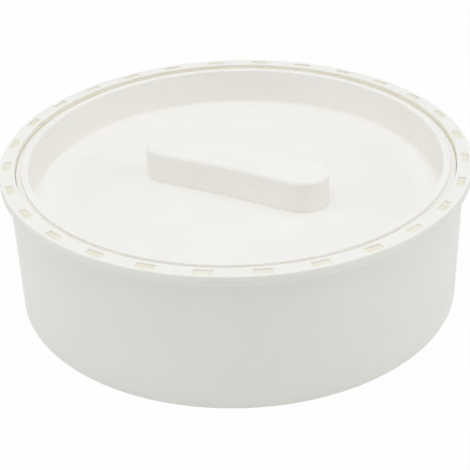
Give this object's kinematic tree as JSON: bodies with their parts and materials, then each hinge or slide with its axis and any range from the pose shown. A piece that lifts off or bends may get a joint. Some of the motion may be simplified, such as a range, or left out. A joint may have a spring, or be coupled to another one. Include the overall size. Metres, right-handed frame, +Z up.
{
  "type": "cheese mold",
  "caption": "Round net-lined plastic cheese mold: a drained vat with a windowed rim, and a dish-shaped follower with a bar handle that slides down it to press the curd.",
  "frame": {"origin": "on the table under the centre of the vat", "axes": "+Z up along the vat's axis; the bar handle lies 28 degrees clockwise from +X, seen from above"},
  "size_m": [0.32, 0.32, 0.1],
  "materials": {
    "vat_plastic": "satin moulded polyethylene",
    "rim_plastic": "satin moulded polyethylene",
    "clamp_plastic": "satin moulded polyethylene",
    "dish_plastic": "satin moulded polyethylene",
    "handle_plastic": "satin moulded polyethylene",
    "net_plastic": "cream plastic net"
  },
  "bodies": {
    "vat": {"mould_body": "vat_plastic", "rim_ring": "rim_plastic", "side_net": "net_plastic", "floor_net": "net_plastic", "corner_ring": "clamp_plastic", "floor_net_stud": "clamp_plastic"},
    "follower": {"follower_plate": "dish_plastic", "follower_handle": "handle_plastic", "follower_net": "net_plastic", "follower_edge_ring": "clamp_plastic", "follower_net_stud": "clamp_plastic"}
  },
  "joints": [
    {"name": "follower_slide", "type": "slide", "parent": "vat", "child": "follower", "axis": [0, 0, 1], "range_m": [-0.0384, 0.12]}
  ]
}
